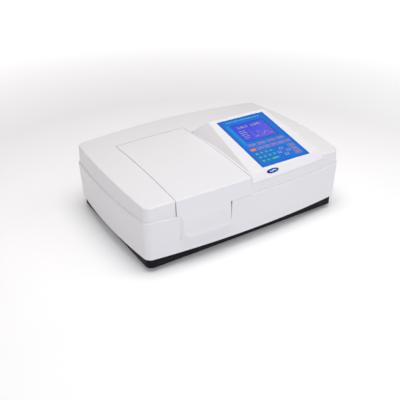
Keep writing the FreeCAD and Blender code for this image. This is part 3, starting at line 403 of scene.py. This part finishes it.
def lit_screen():
    """Screen glass in front, bare circuit board behind."""
    made, nodes, links, shader = blank_finish("lit_screen")
    shader.inputs["Coat Weight"].default_value = 0.3
    shader.inputs["Coat Roughness"].default_value = 0.08
    place = nodes.new("ShaderNodeGroup")
    place.node_tree = panel_place_nodes
    fall = nodes.new("ShaderNodeMath")
    fall.operation = "SUBTRACT"
    links.new(place.outputs["Across"], fall.inputs[0])
    links.new(place.outputs["Along"], fall.inputs[1])
    share = spread(nodes, links, fall.outputs["Value"], 0.0, 1.0, -60.0, 45.0)
    glow = nodes.new("ShaderNodeValToRGB")
    glow.color_ramp.elements[0].color = (0.030, 0.045, 0.560, 1.0)
    glow.color_ramp.elements[1].color = (0.110, 0.050, 0.420, 1.0)
    middle = glow.color_ramp.elements.new(0.6)
    middle.color = (0.070, 0.070, 0.560, 1.0)
    links.new(share, glow.inputs["Fac"])
    front = nodes.new("ShaderNodeMath")
    front.operation = "GREATER_THAN"
    front.inputs[1].default_value = glass_back
    links.new(place.outputs["Out"], front.inputs[0])
    trace = nodes.new("ShaderNodeTexBrick")
    trace.inputs["Scale"].default_value = 260.0
    trace.inputs["Color1"].default_value = (0.010, 0.130, 0.050, 1.0)
    trace.inputs["Color2"].default_value = (0.015, 0.160, 0.065, 1.0)
    trace.inputs["Mortar"].default_value = (0.030, 0.220, 0.100, 1.0)
    colour = nodes.new("ShaderNodeMix")
    colour.data_type = "RGBA"
    links.new(front.outputs["Value"], colour.inputs["Factor"])
    links.new(trace.outputs["Color"], colour.inputs["A"])
    links.new(glow.outputs["Color"], colour.inputs["B"])
    links.new(colour.outputs["Result"], shader.inputs["Base Color"])
    light = nodes.new("ShaderNodeMix")
    light.data_type = "RGBA"
    light.inputs["A"].default_value = (0.0, 0.0, 0.0, 1.0)
    links.new(front.outputs["Value"], light.inputs["Factor"])
    links.new(glow.outputs["Color"], light.inputs["B"])
    links.new(light.outputs["Result"], shader.inputs["Emission Color"])
    shader.inputs["Emission Strength"].default_value = 0.22
    shader.inputs["Roughness"].default_value = 0.25
    return made


coat(lit_screen(), "display_module")

# What the screen shows: a reading in large figures, a list of short lines at the left and
# a small absorbance curve, all in pale yellow cells, with the curve's axes in blue ones.


def glowing_ink(name, colour, strength):
    """Bright cells of the screen: lit, with a faint grain of dots."""
    made, nodes, links, shader = blank_finish(name)
    place = nodes.new("ShaderNodeTexCoord")
    dots = nodes.new("ShaderNodeTexVoronoi")
    dots.inputs["Scale"].default_value = 1600.0
    links.new(place.outputs["Object"], dots.inputs["Vector"])
    dim_colour = (colour[0] * 0.8, colour[1] * 0.8, colour[2] * 0.9)
    cells = blend_tints(nodes, links, dots.outputs["Distance"], colour, dim_colour)
    links.new(cells, shader.inputs["Base Color"])
    links.new(cells, shader.inputs["Emission Color"])
    shader.inputs["Emission Strength"].default_value = strength
    shader.inputs["Roughness"].default_value = 0.3
    return made


def figures_on_panel(name, figures, across, along, height, base, ink, body):
    """Plain printed figures, centred on a spot of the sloping panel."""
    letters = bpy.data.curves.new(name, "FONT")
    letters.body = figures
    letters.align_x = "CENTER"
    letters.align_y = "CENTER"
    letters.size = height / 1000
    letters.extrude = ink_thick / 2
    typed = bpy.data.objects.new(name + "_type", letters)
    scene.collection.objects.link(typed)
    bpy.context.view_layer.update()
    shape = typed.evaluated_get(bpy.context.evaluated_depsgraph_get())
    mesh = bpy.data.meshes.new_from_object(shape)
    bpy.data.objects.remove(typed)
    lift = Matrix.Translation((across / 1000, along / 1000, base + ink_thick / 2))
    mesh.transform(panel_place @ lift)
    mesh.name = name
    mesh.materials.clear()
    mesh.materials.append(ink)
    printed = bpy.data.objects.new(name, mesh)
    scene.collection.objects.link(printed)
    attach(printed, body)
    return printed


screen_top = -0.0002
yellow_cells = glowing_ink("yellow_cells", (0.36, 0.40, 0.30), 0.12)
blue_cells = glowing_ink("blue_cells", (0.20, 0.22, 0.60), 0.12)
reading_along = 63.0
reading_height = 15.0
for label, figures, across in (("wavelength", "546.0", -22.0), ("absorbance", "0.842", 22.0)):
    reading = figures_on_panel(
        "screen_" + label,
        figures,
        across,
        reading_along,
        reading_height,
        screen_top,
        yellow_cells,
        "instrument",
    )
list_left = -44.0
list_top = 47.0
row_pitch = 8.0
word_gap = 2
word_height = 2.2
lines = []
for row, (first, second) in enumerate(((9, 8), (7, 12), (10, 6), (8, 9), (9, 4))):
    row_along = list_top - row * row_pitch
    second_left = list_left + first + word_gap
    lines.append(box_outline(list_left + first / 2, row_along, first, word_height))
    lines.append(box_outline(second_left + second / 2, row_along, second, word_height))
print_on_panel("screen_list", lines, screen_top, ink_thick, yellow_cells, "instrument")
axes = [box_outline(-12.0, 30.0, 1.0, 38.0), box_outline(18.0, 11.0, 60.0, 1.0)]
curve_left = -10.0
curve_foot = 14.0
curve_width = 54.0
curve_dots = 28
trail = []
for step in range(curve_dots):
    sweep = step / (curve_dots - 1)
    peak = 20.0 * math.exp(-((sweep - 0.34) / 0.11) ** 2)
    shoulder = 11.0 * math.exp(-((sweep - 0.72) / 0.14) ** 2)
    height = curve_foot + peak + shoulder
    trail.append(box_outline(curve_left + curve_width * sweep, height, 1.9, 1.5))
print_on_panel("screen_axes", axes, screen_top, ink_thick, blue_cells, "instrument")
print_on_panel("screen_curve", trail, screen_top, ink_thick, yellow_cells, "instrument")

# The keys: embossed polyester caps over snap domes. The function keys are mauve with a
# lilac frame, the reset key is plain orange, the number keys teal and the arrows lilac.
key_top = 0.001
mauve_film = printed_film("mauve_film", (0.200, 0.180, 0.500), (0.160, 0.150, 0.440), 0.36)
orange_film = printed_film("orange_film", (0.860, 0.230, 0.110), (0.800, 0.200, 0.090), 0.36)
teal_film = printed_film("teal_film", (0.045, 0.290, 0.430), (0.035, 0.250, 0.390), 0.36)
lilac_film = printed_film("lilac_film", (0.260, 0.290, 0.680), (0.220, 0.250, 0.620), 0.36)
lilac_ink = printed_film("lilac_ink", (0.300, 0.320, 0.680), (0.260, 0.280, 0.620), 0.4)
rose_ink = printed_film("rose_ink", (0.480, 0.230, 0.420), (0.420, 0.200, 0.380), 0.4)
pale_teal_ink = printed_film("pale_teal_ink", (0.260, 0.560, 0.600), (0.220, 0.500, 0.560), 0.4)


def key_spot(name):
    """The middle of a key across and along the panel, in millimetres."""
    low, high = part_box(name)
    reach = (low + high) / 2 - panel_middle
    return reach.dot(panel_right) * 1000, reach.dot(panel_back) * 1000


frame_gap = 3.2
frame_line = 0.9
bar_height = 1.9
menu_keys = ("mode_key", "wavelength_key", "zero_key", "scan_key", "print_key")
soft_keys = tuple("soft_key_" + str(index) for index in (1, 2, 3, 4))
side_keys = ("start_key", "stop_key", "enter_key")
frames = []
# Each row of function keys: its keys, their size, and the place and width of each legend bar.
for names, width, height, marks in (
    (soft_keys, 23.0, 8.0, ((-5.0, 5.0), (4.5, 8.0))),
    (menu_keys, 16.5, 9.0, ((-3.2, 3.6), (2.4, 5.0))),
    (side_keys, 17.0, 10.0, ((-3.4, 4.4), (2.8, 5.2))),
):
    coat(mauve_film, *names)
    for name in names:
        across, along = key_spot(name)
        frames += ring_outlines(across, along, width + frame_gap, height + frame_gap, frame_line)
        bars = [box_outline(across + shift, along, wide, bar_height) for shift, wide in marks]
        legend = print_on_panel(name + "_mark", bars, key_top, ink_thick, rose_ink, name)
print_on_panel("key_frame_ink", frames, film_top, ink_thick, lilac_ink, "instrument")

coat(orange_film, "reset_key")

digit_height = 8.0
for digit in range(10):
    name = "digit_key_" + str(digit)
    coat(teal_film, name)
    across, along = key_spot(name)
    figure = figures_on_panel(
        name + "_figure", str(digit), across, along, digit_height, key_top, pale_teal_ink, name
    )
coat(teal_film, "clear_key")
across, along = key_spot("clear_key")
clear_bars = [box_outline(across - 3.0, along, 8.0, 2.4), box_outline(across + 5, along, 4, 2.4)]
clear_mark = print_on_panel(
    "clear_key_mark", clear_bars, key_top, ink_thick, pale_teal_ink, "clear_key"
)

arrow_tip = 3
arrow_tail = 2.4
arrow_half = 3.2
for name, point in (("up", (0, 1)), ("right", (1, 0)), ("left", (-1, 0)), ("down", (0, -1))):
    key = "arrow_" + name + "_key"
    coat(lilac_film, key)
    across, along = key_spot(key)
    tail_across = across - point[0] * arrow_tail
    tail_along = along - point[1] * arrow_tail
    half_across = -point[1] * arrow_half
    half_along = point[0] * arrow_half
    head = [
        (across + point[0] * arrow_tip, along + point[1] * arrow_tip),
        (tail_across + half_across, tail_along + half_along),
        (tail_across - half_across, tail_along - half_along),
    ]
    arrow = print_on_panel(key + "_mark", [head], key_top, ink_thick, dark_ink, key)

# The badge on the console's nose: a dark oval plate with a domed blue resin face, which
# carries one plain pale wave.
badge_plate = printed_film("badge_plate_ink", (0.006, 0.012, 0.045), (0.004, 0.008, 0.03), 0.25)
badge_blue = printed_film("badge_blue_resin", (0.030, 0.260, 0.700), (0.015, 0.130, 0.480), 0.15)
coat(badge_plate, "console_badge")
nose_rise = 0.0185
nose_run = 0.0129
nose_out = Vector((0.0, -nose_rise, nose_run)).normalized()
nose_up = Vector((0.0, nose_run, nose_rise)).normalized()
badge_low, badge_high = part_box("console_badge")
badge_middle = (badge_low + badge_high) / 2
badge_axes = Matrix((panel_right, nose_up, nose_out)).transposed().to_4x4()
badge_place = Matrix.Translation(badge_middle) @ badge_axes


badge_half_width = 0.0150
badge_half_height = 0.0040
badge_crown = 0.0012


def badge_dome(name, finish):
    """An oval cabochon with a flat back, crowned in the middle."""
    dome = bmesh.new()
    around = 48
    rings = 7
    rows = []
    for ring in range(rings):
        lean = ring / rings * math.pi / 2
        row = []
        for step in range(around):
            sweep = 2 * math.pi * step / around
            x = badge_half_width * math.cos(lean) * math.cos(sweep)
            y = badge_half_height * math.cos(lean) * math.sin(sweep)
            row.append(dome.verts.new((x, y, badge_crown * math.sin(lean))))
        rows.append(row)
    dome.faces.new(list(reversed(rows[0])))
    for lower, higher in zip(rows, rows[1:]):
        for step in range(around):
            after = (step + 1) % around
            dome.faces.new((lower[step], lower[after], higher[after], higher[step]))
    dome.faces.new(rows[-1])
    piece = finished_piece(name, dome, badge_place, finish, "instrument")
    for face in piece.data.polygons:
        face.use_smooth = len(face.vertices) == 4


def badge_wave(name, finish):
    """A tapering ribbon of ink that rises and falls once across the dome's face."""
    ribbon = bmesh.new()
    steps = 28
    rows = []
    for step in range(steps + 1):
        share = 2.0 * step / steps - 1.0
        x = 0.72 * badge_half_width * share
        middle = 0.34 * badge_half_height * math.sin(share * 4.2)
        half_ink = 0.22 * badge_half_height * math.sqrt(1.03 - share * share)
        row = []
        for side, lift in ((-1, -0.00004), (1, -0.00004), (1, 0.00005), (-1, 0.00005)):
            y = middle + side * half_ink
            reach = (x / badge_half_width) ** 2 + (y / badge_half_height) ** 2
            rise = badge_crown * math.sqrt(1.0 - reach)
            row.append(ribbon.verts.new((x, y, rise + lift)))
        rows.append(row)
    for row, after in zip(rows, rows[1:]):
        for corner in range(4):
            beside = (corner + 1) % 4
            ribbon.faces.new((row[corner], row[beside], after[beside], after[corner]))
    ribbon.faces.new(list(reversed(rows[0])))
    ribbon.faces.new(rows[-1])
    bmesh.ops.recalc_face_normals(ribbon, faces=ribbon.faces)
    piece = finished_piece(name, ribbon, badge_place, finish, "instrument")


badge_dome("badge_dome", badge_blue)
badge_pale = printed_film("badge_pale_ink", (0.60, 0.78, 0.92), (0.55, 0.73, 0.88), 0.3)
badge_wave("badge_wave", badge_pale)

# Metal parts: zinc-plated steel for the hinges, screws and port shells, bare cast and
# sheet aluminium for the optics, and black anodised aluminium beside the beams. All have
# the fine streaks of rolling or machining.


def worked_metal_group():
    """Streaks along X and a cloudy tarnish, as masks between 0 and 1."""
    group = bpy.data.node_groups.new("worked_metal", "ShaderNodeTree")
    socket = group.interface.new_socket(
        "Streak Scale", in_out="INPUT", socket_type="NodeSocketFloat"
    )
    socket.default_value = 400.0
    for label in ("Streak", "Tarnish"):
        group.interface.new_socket(label, in_out="OUTPUT", socket_type="NodeSocketFloat")
    given = group.nodes.new("NodeGroupInput")
    result = group.nodes.new("NodeGroupOutput")
    place = group.nodes.new("ShaderNodeTexCoord")
    squeeze = group.nodes.new("ShaderNodeMapping")
    squeeze.inputs["Scale"].default_value = (0.03, 1.0, 1.0)
    streak = group.nodes.new("ShaderNodeTexNoise")
    streak.inputs["Detail"].default_value = 4.0
    tarnish = group.nodes.new("ShaderNodeTexNoise")
    tarnish.inputs["Scale"].default_value = 45.0
    tarnish.inputs["Detail"].default_value = 6.0
    group.links.new(place.outputs["Object"], squeeze.inputs["Vector"])
    group.links.new(squeeze.outputs["Vector"], streak.inputs["Vector"])
    group.links.new(given.outputs["Streak Scale"], streak.inputs["Scale"])
    group.links.new(place.outputs["Object"], tarnish.inputs["Vector"])
    group.links.new(streak.outputs["Fac"], result.inputs["Streak"])
    group.links.new(tarnish.outputs["Fac"], result.inputs["Tarnish"])
    return group


worked_metal = worked_metal_group()


def metal_finish(name, colour, dull_colour, gloss, streak_scale):
    """A metal with streaks in its roughness and tarnish in its colour."""
    made, nodes, links, shader = blank_finish(name)
    shader.inputs["Metallic"].default_value = 1.0
    work = nodes.new("ShaderNodeGroup")
    work.node_tree = worked_metal
    work.inputs["Streak Scale"].default_value = streak_scale
    tint = blend_tints(nodes, links, work.outputs["Tarnish"], dull_colour, colour)
    links.new(tint, shader.inputs["Base Color"])
    rough = spread(nodes, links, work.outputs["Streak"], gloss[0], gloss[1])
    links.new(rough, shader.inputs["Roughness"])
    press_relief(nodes, links, shader, work.outputs["Streak"], 0.15, 0.00005)
    return made


zinc_plate = metal_finish("zinc_plate", (0.62, 0.63, 0.66), (0.50, 0.51, 0.53), (0.2, 0.45), 700.0)
coat(zinc_plate, "lid_hinge_arms", "lid_hinge_brackets", "panel_screws", "data_ports")
cast_alloy = metal_finish("cast_alloy", (0.58, 0.59, 0.60), (0.46, 0.47, 0.48), (0.4, 0.7), 180.0)
coat(cast_alloy, "optical_bench")
sheet_alloy = metal_finish("sheet_alloy", (0.72, 0.73, 0.74), (0.62, 0.63, 0.64), (0.2, 0.4), 900.0)
coat(sheet_alloy, "lamp_house")
mirror_coat = metal_finish(
    "mirror_coat", (0.88, 0.89, 0.92), (0.82, 0.83, 0.87), (0.02, 0.08), 60.0
)
coat(mirror_coat, "source_mirror", "fixed_mirrors", "grating")
black_anodised = metal_finish(
    "black_anodised", (0.040, 0.040, 0.045), (0.025, 0.025, 0.030), (0.35, 0.55), 500.0
)
coat(black_anodised, "cell_holder", "filter_wheel", "detectors")

# The sample compartment: a matt black moulded tub that swallows stray light, with a soft
# foam gasket glued round its rim for the lid to close over.
tub_black = moulded_plastic(
    "tub_black", (0.022, 0.022, 0.023), (0.013, 0.013, 0.014), (0.6, 0.85), 700.0, 0.0002
)
coat(tub_black, "sample_compartment")
seal_foam = moulded_plastic(
    "seal_foam", (0.035, 0.035, 0.036), (0.015, 0.015, 0.016), (0.85, 0.97), 1400.0, 0.0005
)
coat(seal_foam, "lid_light_seal")

# The cuvettes and lamp bulbs: clear fused quartz, with a trace of green in its depth.


def clear_quartz(name, tint, roughness):
    """Polished quartz with faint wipe marks."""
    made, nodes, links, shader = blank_finish(name)
    shader.inputs["Transmission Weight"].default_value = 1.0
    shader.inputs["IOR"].default_value = 1.46
    place = nodes.new("ShaderNodeTexCoord")
    wipe = nodes.new("ShaderNodeTexNoise")
    wipe.inputs["Scale"].default_value = 90.0
    wipe.inputs["Detail"].default_value = 4.0
    links.new(place.outputs["Object"], wipe.inputs["Vector"])
    smear = spread(nodes, links, wipe.outputs["Fac"], roughness, roughness + 0.05)
    links.new(smear, shader.inputs["Roughness"])
    depth = blend_tints(nodes, links, wipe.outputs["Fac"], tint, (1.0, 1.0, 1.0))
    links.new(depth, shader.inputs["Base Color"])
    return made


coat(clear_quartz("cell_quartz", (0.90, 0.97, 0.95), 0.01), "sample_cuvette", "reference_cuvette")
coat(clear_quartz("bulb_quartz", (0.96, 0.96, 0.98), 0.03), "source_lamps")

# The circuit boards: green solder mask over copper tracks, with black moulded components
# on top. The boards stand near the rear of the casing.
board_face_height = 0.0257


def solder_mask():
    """Green board with lighter tracks; parts standing above it are black epoxy."""
    made, nodes, links, shader = blank_finish("solder_mask")
    shader.inputs["Roughness"].default_value = 0.35
    place = nodes.new("ShaderNodeTexCoord")
    track = nodes.new("ShaderNodeTexBrick")
    track.inputs["Scale"].default_value = 240.0
    track.inputs["Color1"].default_value = (0.010, 0.120, 0.045, 1.0)
    track.inputs["Color2"].default_value = (0.014, 0.150, 0.060, 1.0)
    track.inputs["Mortar"].default_value = (0.035, 0.230, 0.110, 1.0)
    links.new(place.outputs["Object"], track.inputs["Vector"])
    split = nodes.new("ShaderNodeSeparateXYZ")
    links.new(place.outputs["Object"], split.inputs["Vector"])
    above = nodes.new("ShaderNodeMath")
    above.operation = "GREATER_THAN"
    above.inputs[1].default_value = board_face_height
    links.new(split.outputs["Z"], above.inputs[0])
    paint = nodes.new("ShaderNodeMix")
    paint.data_type = "RGBA"
    paint.inputs["B"].default_value = (0.020, 0.020, 0.022, 1.0)
    links.new(above.outputs["Value"], paint.inputs["Factor"])
    links.new(track.outputs["Color"], paint.inputs["A"])
    links.new(paint.outputs["Result"], shader.inputs["Base Color"])
    return made


coat(solder_mask(), "circuit_boards")

# The rear panel: folded sheet steel in light grey powder coat, with the cooling grille
# punched in it. The mains module, switch and fan behind it are black plastic.
powder_coat = moulded_plastic(
    "powder_coat", (0.60, 0.60, 0.60), (0.56, 0.56, 0.565), (0.45, 0.65), 1300.0, 0.00025
)
coat(powder_coat, "rear_panel")
module_black = moulded_plastic(
    "module_black", (0.026, 0.026, 0.028), (0.018, 0.018, 0.020), (0.3, 0.5), 1000.0, 0.0001
)
coat(module_black, "mains_inlet", "power_switch", "fan_frame", "fan_rotor")
